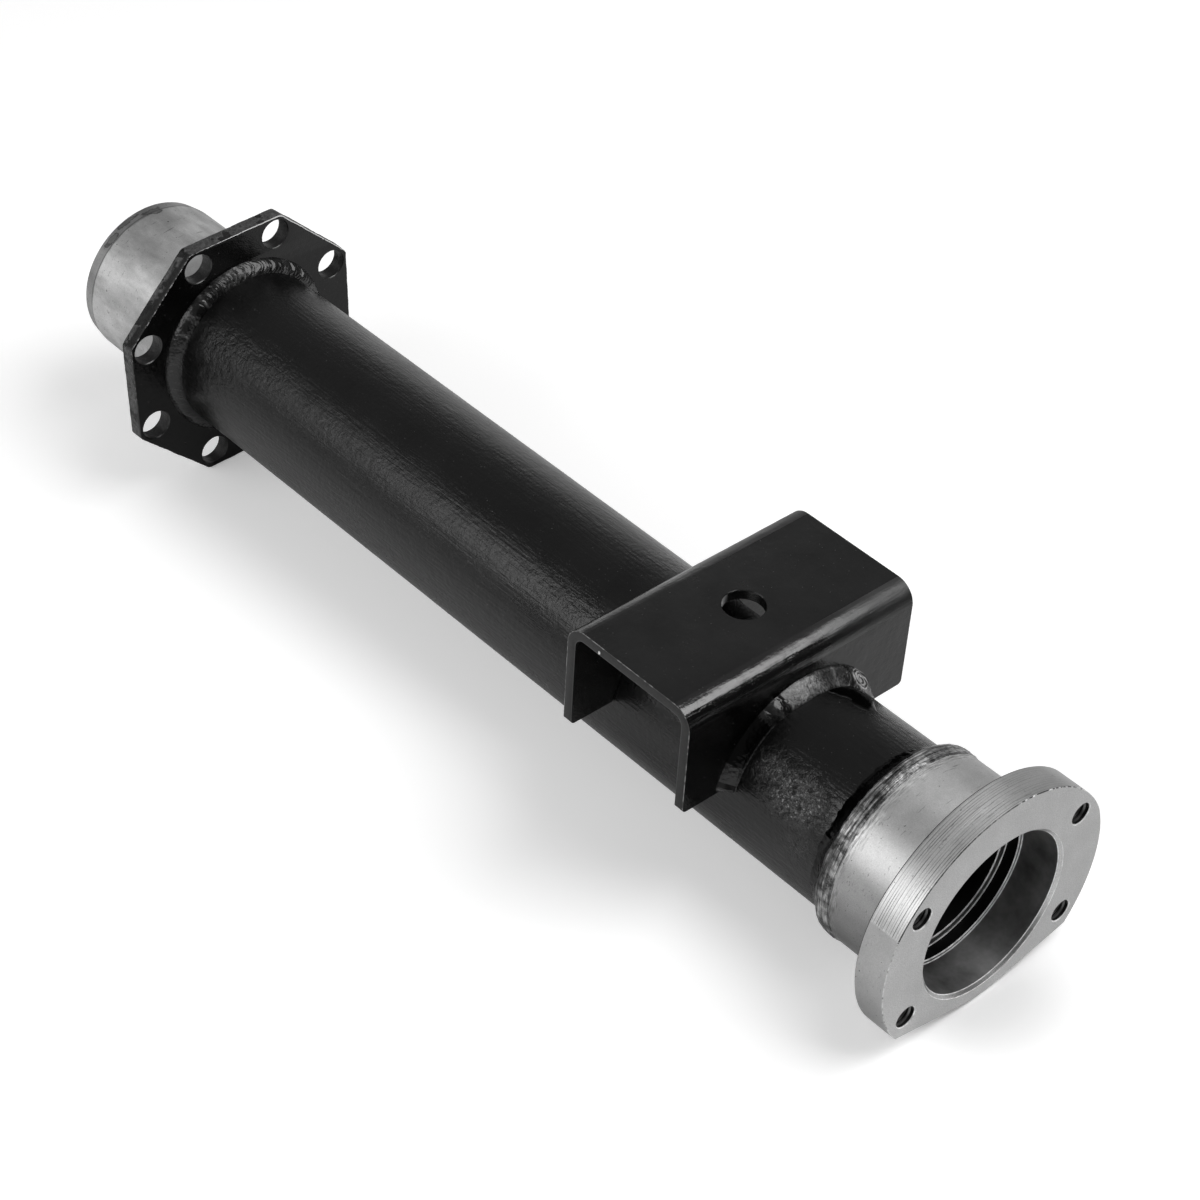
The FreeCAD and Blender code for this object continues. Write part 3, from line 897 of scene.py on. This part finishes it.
def bearing_housing_piece():
    """Bolt flange, neck and stepped bore in one piece, with turning grooves on the crown."""
    count = 720
    hole_sides = 48
    shell = Shell()
    angles = flange_angles(count)

    def outline(x, inset=0, groove=0, turned=0.09):
        """The flange's outline at a station; its crown is turned down a little, deeper in a groove."""
        row, marks = [], []
        for angle in angles:
            share = crown_share(angle)
            cut_in = share * (0.3 + 0.7 * ease(60, 115, angle))
            row.append(round_axle(x, angle, flange_reach(angle, inset) - turned * share - groove * cut_in))
            marks.append(cut_in)
        return shell.row(row, marks)

    rim = [outline(0, 0.35, turned=0), outline(-0.35)]
    x = -1.1
    step = 0
    while x > -BOLT_FLANGE_T + BOLT_EDGE + 0.8:
        depth = 0.015 + 0.03 * abs(noise.noise(Vector((step * 0.73, 1.7, 5.1))))
        # The rings close beside a groove keep its shading off the flat lands
        for over, groove in ((0.06, 0), (0, 0), (-0.1, depth), (-0.22, 0), (-0.28, 0)):
            rim.append(outline(x + over, groove=groove))
        x -= 0.8 + 0.9 * abs(noise.noise(Vector((step * 0.41, 7.3, 2.9))))
        step += 1
    rim += [outline(-BOLT_FLANGE_T + BOLT_EDGE), outline(-BOLT_FLANGE_T, BOLT_EDGE, turned=0)]
    shell.strip(rim[0], rim[1], BURR_STEEL)
    shell.strips(rim[1:-1], TURNED_RIM)
    # Painted shade line where the flange's back meets the neck
    shell.strip(rim[-2], rim[-1], RELIEF_AND_SHADE_STEEL)
    front_holes = [shell.circle(0, BOLT_R + 0.4, hole_sides, y, z) for y, z in BOLTS]
    back_holes = [shell.circle(-BOLT_FLANGE_T, BOLT_R + 0.2, hole_sides, y, z) for y, z in BOLTS]
    lip = shell.circle(0, 37.5, count)
    neck = [shell.row([round_axle(-BOLT_FLANGE_T, a, NECK_R + 0.8) for a in angles])]
    shell.fill([rim[0], lip] + front_holes, GROUND_FACE)
    shell.fill([rim[-1], neck[0]] + back_holes, GROUND_FACE)
    for (y, z), front_rim, back_rim in zip(BOLTS, front_holes, back_holes):
        wall = [shell.circle(-down, BOLT_R, hole_sides, y, z) for down in (0.4, 4, 8, 12, 14.2)]
        # Painted highlight on the hole's chamfer
        shell.strip(front_rim, wall[0], STEP_STEEL)
        shell.strips(wall + [back_rim], THROAT_STEEL)
    profile = [(-BOLT_FLANGE_T - 0.3, NECK_R + 0.35), (-BOLT_FLANGE_T - 0.8, NECK_R)]
    profile += [(lerp(-BOLT_FLANGE_T - 0.8, -47, i / 12), NECK_R) for i in range(1, 13)]
    profile.append((BUTT_X, NECK_R - 3))
    neck += [shell.row([round_axle(x, a, radius) for a in angles]) for x, radius in profile]
    shell.strips(neck, TURNED_NECK)
    previous = lip
    for x, radius, material in BORE_PROFILE:
        ring = shell.circle(x, radius, count)
        shell.strip(previous, ring, material)
        previous = ring
    shell.strip(previous, neck[-1], THROAT_STEEL)
    piece = shell.build("bearing_housing_visual", sharp=25)
    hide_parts("bearing_housing")


def thread_piece(name, y, z):
    """Thread of one tapped hole: a ridge of triangular section wound down the wall."""
    pitch = 25.4 / 16
    per_turn = 40
    total = int(per_turn * 8.2)
    run_in = 14
    root = BOLT_R + 0.03
    shell = Shell()
    rows = []
    for i in range(total + 1):
        turn = 2 * pi * i / per_turn
        x = -0.95 - pitch * i / per_turn
        crest = lerp(BOLT_R, 4.12, min(1, i / run_in, (total - i) / run_in + 0.02))
        section = ((x - 0.68, root), (x - 0.08, crest), (x + 0.08, crest), (x + 0.68, root))
        rows.append(shell.row([(sx, y + r * cos(turn), z + r * sin(turn)) for sx, r in section]))
    shell.strips(rows, THREAD_STEEL)
    shell.face(rows[0], THREAD_STEEL)
    shell.face(rows[-1], THREAD_STEEL)
    piece = shell.build(name)


def bead_ring(shell, angles, section, closed, material_of, mark_of):
    """Sweep a bead's section round the axle; a section gives stations, radii and how high each stands."""
    rows = []
    for angle in angles:
        outline = section(angle)
        mark = mark_of(angle)
        # A point's mark grows with its crest, so the grey on the ripples is partly painted highlight
        rows.append(shell.row([round_axle(x, angle, r) for x, r, _ in outline],
                              [max(0, mark * (0.15 + 0.85 * crest)) for _, _, crest in outline]))
    for angle, a, b in zip(angles, rows, rows[1:] + rows[:1] if closed else rows[1:]):
        for k in range(len(a)):
            n = (k + 1) % len(a)
            shell.face((a[k], a[n], b[n], b[k]), material_of(angle, k))
    if not closed:
        for end in (rows[0], rows[-1]):
            shell.face(end, material_of(angles[0], 0))


BEAD_STEPS = 20
# How deep inside the corner the middle of a fillet bead's arc lies
BEAD_SINK = 2.5


def fillet_section(face_x, side, leg, angle, pitch, seed, swell, ripple, reach=1, crater=None):
    """Section of a rippled fillet bead between the tube and a plate face, from the face outwards."""
    points = [(face_x, TUBE_R - 0.35, 0)]
    radius = hypot(leg + BEAD_SINK, BEAD_SINK)
    first = asin(BEAD_SINK / radius)
    run_r = TUBE_R + leg / 2
    run = radians(angle) * run_r
    for i in range(BEAD_STEPS + 1):
        t = i / BEAD_STEPS
        turn = lerp(first, pi / 2 - first, t)
        bow = 1 - (2 * t - 1) ** 2
        phase = (run + 2.6 * bow + 1.4 * rough((run * 0.8, seed, t * 4), 5, 3)) / pitch
        number = phase // 1
        wave = phase - number
        odd = noise.noise(Vector((number * 1.37 + 0.5, seed, 0.7))) * 1.6
        crest = 1 - wave if wave > 0.2 else wave / 0.2 * 0.8
        scale = ((crest - 0.4) * (1 + 1.1 * odd) + 0.35 * odd) * ripple * (0.2 + 0.8 * bow)
        crest = min(1, max(0, crest * (0.9 + 1.5 * odd)))
        if crater:
            away = hypot((run - radians(crater) * run_r) * 0.8, (t - 0.5) * 1.2 * leg)
            ring = abs(cos(pi * away / 1.9)) ** 2
            inside = 1 - ease(5, 6.4, away)
            scale = lerp(scale, 0.25 * ring - 0.7 * (1 - ease(0, 4, away)), inside)
            crest = lerp(crest, ring, inside)
        wander = 0.26 * rough((run * 0.6, seed + 4, t * 4), 4, 3) + 0.08 * rough((run, seed, t * 9), 1.3, 3)
        out = radius + scale + wander * (0.3 + 0.7 * bow) + swell(angle) * (0.35 + 0.65 * bow)
        x = face_x + side * reach * (-BEAD_SINK + out * cos(turn))
        r = TUBE_R - BEAD_SINK + out * sin(turn)
        points.append((x, max(r, TUBE_R - 0.3), crest))
    return points


def flange_weld_piece():
    """Bead all round the tube on the octagon, with ripples and places where it was restarted."""
    shell = Shell()

    def swell(angle):
        return lumps(angle, (112, 7, 0.6), (117, 4, -0.35), (132, 7, 0.4), (66, 6, 0.5),
                     (300, 6, 0.6), (306, 5, -0.4))

    def section(angle):
        ripple = 0.65 - 0.3 * ease(98, 106, angle)
        ripple = lerp(ripple, 0.06, ease(116, 130, angle) * ease(236, 220, angle))
        points = fillet_section(FLANGE_FRONT_X, 1, 5.2, angle, 1.85, 3, swell, ripple)
        return [(max(x, FLANGE_FRONT_X), r, crest) for x, r, crest in points]

    # Where the bead turns grey: rubbed paint and painted highlight on its lumps and ripples
    def mark(angle):
        return 0.03 + lumps(angle, (90, 26, 0.8), (124, 2.5, 1.2), (137, 3.5, 0.5), (148, 2.5, 0.8),
                            (180, 34, 0.14), (58, 4, 0.9))

    bead_ring(shell, full_turn(1080), section, True, lambda angle, k: WELD_PAINT, mark)
    piece = shell.build("flange_weld_visual", sharp=55)
    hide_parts("flange_weld")


# Outline and middle of the thick paint on the tube beside the perch's front bead: station and angle
THICK_PAINT_EDGE = (
    (-100.6, 80), (-100.6, 66), (-99.2, 60), (-98, 55), (-96.4, 51), (-93.6, 49), (-89.5, 52),
    (-85, 59), (-79.2, 67.4), (-80, 71.4), (-83, 74.6), (-87, 76), (-89.6, 72.6), (-91.6, 73.6),
    (-93.6, 76.6), (-97, 79.6))
THICK_PAINT_MIDDLE = (-93.5, 64)


def thick_paint_patch(shell):
    """Thin domed skin of thick paint lying on the tube, its edge faintly grey as a painted highlight."""
    thickness = 0.22
    round_mm = 0.67
    middle_x, middle_a = THICK_PAINT_MIDDLE
    outline = []
    for (xa, aa), (xb, ab) in zip(THICK_PAINT_EDGE, THICK_PAINT_EDGE[1:] + THICK_PAINT_EDGE[:1]):
        outline += [(lerp(xa, xb, i / 8), lerp(aa, ab, i / 8)) for i in range(8)]
    rings = []
    for share, height in ((1, -0.08), (1, 0.1), (0.95, 0.6), (0.9, 0.9), (0.7, 1), (0.4, 0.9), (0.1, 0.85)):
        row = []
        for x, angle in outline:
            wiggle = 1 + 0.05 * rough((x, angle * round_mm, 2), 2.2, 2)
            place_x = lerp(middle_x, x, share * wiggle)
            place_a = lerp(middle_a, angle, share * wiggle)
            lift = height
            if height > 0:
                lift *= thickness * (1 + 0.3 * rough((place_x, place_a * round_mm, 0), 3, 2))
            row.append(round_axle(place_x, place_a, TUBE_R + lift))
        # The outer rings are marked faintly grey: a painted highlight along the rounded edge
        rings.append(shell.row(row, 0.05 if share > 0.9 else 0))
    shell.strips(rings[:3], CRATER_PAINT)
    shell.strips(rings[2:], THICK_PAINT)
    shell.face(rings[-1], THICK_PAINT)
    under = shell.row([round_axle(lerp(middle_x, x, 0.4), lerp(middle_a, a, 0.4), TUBE_R - 0.12)
                       for x, a in outline])
    shell.strip(rings[0], under, THICK_PAINT)
    shell.face(under, THICK_PAINT)


def perch_weld_piece(name, node, side, crater, seed):
    """Bead over the tube on one perch leg, from a lump at one end to a crater at the other."""
    shell = Shell()
    face_x = PERCH_X + side * PERCH_HALF_X
    leg = 5.4
    start, stop = 12.6, 167.4
    count = 760
    angles = [lerp(start, stop, i / count) for i in range(count + 1)]

    def swell(angle):
        ends = -1.6 * (1 - ease(start, start + 3, angle)) - 1.2 * (1 - ease(stop, stop - 2.5, angle))
        return (ends + lumps(angle, (164, 3, 0.9), (113, 4.5, 0.6), (108, 2, -0.5))
                - 0.5 * ease(117, 127, angle))

    def section(angle):
        plain = ease(117, 120, angle)
        flat = ease(107, 104, angle) * ease(60, 64, angle)
        ripple = lerp(0.35, 0.05, max(plain, flat)) * (1 - lumps(angle, (113, 6, 0.8)))
        reach = lerp(1, 1.3, ease(118, 92, angle) * ease(30, 44, angle))
        kept = []
        for k, (x, r, crest) in enumerate(
                fillet_section(face_x, side, leg, angle, 2.6, seed, swell, ripple, reach, crater)):
            t = (k - 1) / BEAD_STEPS
            if k and flat > 0:
                # The middle is flattened so that it catches the light as a facet
                press = 0.62 * flat * (1 - (2 * t - 1) ** 4)
                x = lerp(x, face_x + side * reach * lerp(leg, 0.3, t), press)
                r = lerp(r, TUBE_R + lerp(0.3, leg, t), press)
                # The facet is marked grey too, a painted highlight on it
                speckle = ease(0, 0.5, rough((angle * 0.9, t * 6, seed), 1, 3) + 0.3)
                crest = lerp(crest, (0.5 + 0.5 * speckle) * ease(0, 0.12, t) * ease(1, 0.9, t), flat)
            if k and plain > 0:
                crest = lerp(crest, 1 if k in (1, 2) else 0, plain)
            kept.append((max(x, face_x) if side > 0 else min(x, face_x), r, crest))
        return kept

    # Where the bead turns grey: rubbed paint and painted highlight on its lumps, facets and crater
    def mark(angle):
        return (lumps(angle, (113, 4, 1.3), (70, 2, 0.5), (crater, 16, 0.9), (164, 4, 0.5))
                + 0.85 * ease(107, 105, angle) * ease(76, 80, angle)
                + 0.4 * ease(79, 77, angle) * ease(58, 62, angle)
                + 0.16 * ease(116, 120, angle))

    def material_of(angle, k):
        dark_from = 122 + 3 * rough((k * 0.7, 2, seed), 1, 2)
        return THICK_PAINT if side > 0 and dark_from < angle < 150 and k > 2 else CRATER_PAINT

    bead_ring(shell, angles, section, False, material_of, mark)
    if side > 0:
        thick_paint_patch(shell)
    piece = shell.build(name, sharp=55)
    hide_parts(node)


def housing_weld_piece():
    """Bead between tube and neck: a black painted slope, then a rough bare band over the neck."""
    shell = Shell()
    slope_points = 12
    band_points = 24
    shoulder_x, shoulder_r = -50.6, 41.9

    def section(angle):
        low = lumps(angle, (60, 40, 0.75))
        edge = 0.8 * rough((angle * 0.08, 2, 1), 1, 3) + 0.5 * rough((angle * 0.3, 5, 1), 1, 2)
        start = -58 + 0.9 * rough((angle * 0.16, 9, 4), 1, 3) + 2.6 * low
        middle = shoulder_x + 0.5 * edge
        points = []
        for i in range(slope_points + 1):
            t = i / slope_points
            dent = 0.3 * sin(pi * t) * rough((angle * 0.22, t * 2, 0), 1, 2)
            points.append((lerp(start, middle, t), lerp(TUBE_R - 0.25, shoulder_r, t ** 1.7) + dent, 0))
        for i in range(1, band_points + 1):
            t = i / band_points
            crown = 0.62 * sin(pi * min(1, t * 0.92 + 0.08)) ** 0.9
            wander = (0.22 * rough((angle * 0.16, t * 5, 7), 1, 3)
                      + 0.12 * rough((angle * 0.4, t * 11, 3), 1, 3))
            base = lerp(shoulder_r, NECK_R - 0.04, ease(0, 0.18, t))
            radius = base + crown * (0.75 + 0.4 * edge) + wander * sin(pi * t) ** 0.6
            points.append((lerp(middle, -42.4, t), radius, 0))
        return points + [(-46, NECK_R - 1.6, 0), (BUTT_X, TUBE_R - 0.4, 0)]

    def material_of(angle, k):
        return THICK_PAINT if k < 12.4 + 2.4 * rough((angle * 0.14, 3, 8), 1, 3) else WELD_STEEL

    bead_ring(shell, full_turn(1200), section, True, material_of, lambda angle: 0)
    piece = shell.build("housing_weld_visual", sharp=55)
    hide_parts("housing_weld")


# The part rests on the octagon's lowest side and on the foot of the bolt flange
REST_ANGLE = OCTAGON_FIRST + OCTAGON_STEP * 5.5
REST_SLOPE = (OCTAGON_FLAT_R - FOOT_R) / (FLANGE_FRONT_X + 0.5)
TOUCH = Vector(round_axle(FLANGE_FRONT_X, REST_ANGLE, OCTAGON_FLAT_R)) * MM
FOOT = Vector(round_axle(0, REST_ANGLE, FOOT_R)) * MM

# Directions of the studio's dark side, of the floor's, and of the white backdrop behind the part
DARK_SIDE = (0.93, 0.3, 0.2)
DARK_FLOOR = Vector((0.74, 0.67, 0))
BACKDROP_SIDE = (-0.7, 0.714, 0)
WHITE = (1, 1, 1, 1)


def make_floor():
    """White floor with a glow of its own, so that it shows white and still takes the shadow.

    The camera sees the glow, less of it by the bolt flange's foot as a painted contact shadow, and gloss
    sees it far off.
    """
    reach = 6
    gap = 0.0003
    mesh = bpy.data.meshes.new("floor")
    corners = [(-reach, -reach, 0), (reach, -reach, 0), (reach, reach, 0), (-reach, reach, 0)]
    mesh.from_pydata(corners, [], [(0, 1, 2, 3)])
    floor = add_object("floor", mesh)
    up = Vector((REST_SLOPE, *(-value for value in round_axle(0, REST_ANGLE, 1)[1:]))).normalized()
    place = TOUCH - up * gap
    floor.matrix_world = Matrix.Translation(place) @ up.to_track_quat("Z", "Y").to_matrix().to_4x4()
    turned = floor.matrix_world.to_3x3().transposed()
    place = floor.matrix_world.translation
    g = Graph("floor white")
    camera = g.ray("Is Camera Ray")
    start = DARK_FLOOR.dot(place)
    unlit = g.fade(g.toward(turned @ DARK_FLOOR), 0.14 - start, 0.32 - start)
    tone = g.mix(unlit * g.ray("Is Glossy Ray"), 0.88, 0.06)
    far = g.fade(g.length(g.place), 0.8, 2.2, 0, 0.6)
    # Painted contact shadow: by the foot of the bolt flange the floor glows less and stays a little grey
    from_foot = g.vectors("DISTANCE", g.place, turned @ (FOOT - place), "Value")
    near = g.fade(from_foot, 0.01, 0.05, 0.08, 0.33)
    glow = camera * (far + near) + g.shown() * far * (1 - unlit)
    # From below the camera looks through the floor
    under = camera * g.node("NewGeometry", {}, "Backfacing")
    mesh.materials.append(g.finish(
        tone, 1, Specular_IOR_Level=0, Emission_Color=WHITE, Emission_Strength=glow, Alpha=1 - under))


def make_world():
    """Dim light from all round, darker past the bearing end, with a white backdrop shown behind the part.

    The camera sees white everywhere; glossy and transmitted rays see it where the backdrop is.
    """
    world = bpy.data.worlds.new("studio")
    bpy.context.scene.world = world
    g = Graph("studio", world)
    lit = g.fade(g.toward(DARK_SIDE), 0.5, 0.85, 0.29, 0.04)
    backdrop = g.shown() * g.fade(g.toward(BACKDROP_SIDE), 0.9, 0.99)
    g.put(g.shader.inputs["Color"], WHITE)
    g.put(g.shader.inputs["Strength"], g.mix(g.ray("Is Camera Ray"), g.mix(backdrop, lit, 1), 1))


def way(azimuth, elevation):
    """Direction at an azimuth from +X and an elevation, in degrees."""
    a, e = radians(azimuth), radians(elevation)
    return Vector((cos(e) * cos(a), cos(e) * sin(a), sin(e)))


def soft_light(name, azimuth, elevation, distance, size, size_y, power):
    """An area light that faces the part's middle; sizes in metres."""
    data = bpy.data.lights.new(name, "AREA")
    data.shape = "RECTANGLE"
    data.size = size
    data.size_y = size_y
    data.energy = power
    light = add_object(name, data)
    out = way(azimuth, elevation)
    light.location = Vector((-0.25, 0, 0)) + out * distance
    light.rotation_euler = out.to_track_quat("Z", "Y").to_euler()


def make_camera():
    """The photograph's camera, as solved from its edges."""
    azimuth, elevation, roll = -44.041, 39.804, radians(3.655)
    target, distance = Vector((-230, 12.235, -7.186)), 1192.509
    focal_pixels, picture_pixels, sensor = 2884.44, 1200, 36
    data = bpy.data.cameras.new("camera")
    data.sensor_fit = "HORIZONTAL"
    data.sensor_width = sensor
    data.lens = sensor * focal_pixels / picture_pixels
    data.clip_start = 0.01
    data.clip_end = 50
    camera = add_object("camera", data)
    away = way(azimuth, elevation)
    level = way(azimuth + 90, 0)
    up = away.cross(level)
    basis = Matrix((cos(roll) * level + sin(roll) * up, cos(roll) * up - sin(roll) * level, away))
    place = (target + away * distance) * MM
    camera.matrix_world = Matrix.Translation(place) @ basis.transposed().to_4x4()
    bpy.context.scene.camera = camera


axle_tube_piece()
octagon_piece()
spring_perch_piece()
bearing_housing_piece()
for number, (bolt_y, bolt_z) in enumerate(BOLTS):
    thread_piece("thread_%d" % (number + 1), bolt_y, bolt_z)
flange_weld_piece()
perch_weld_piece("perch_weld_front_visual", "perch_weld_front", 1, CRATER_ANGLE, 11)
perch_weld_piece("perch_weld_rear_visual", "perch_weld_rear", -1, 120, 29)
housing_weld_piece()
make_floor()
make_world()
make_camera()
soft_light("left_box", -110, 28, 1.6, 1.3, 0.75, 10)
soft_light("top_box", 36, 58, 1.9, 1.35, 1.35, 27.5)
bpy.context.scene.view_settings.view_transform = "Standard"
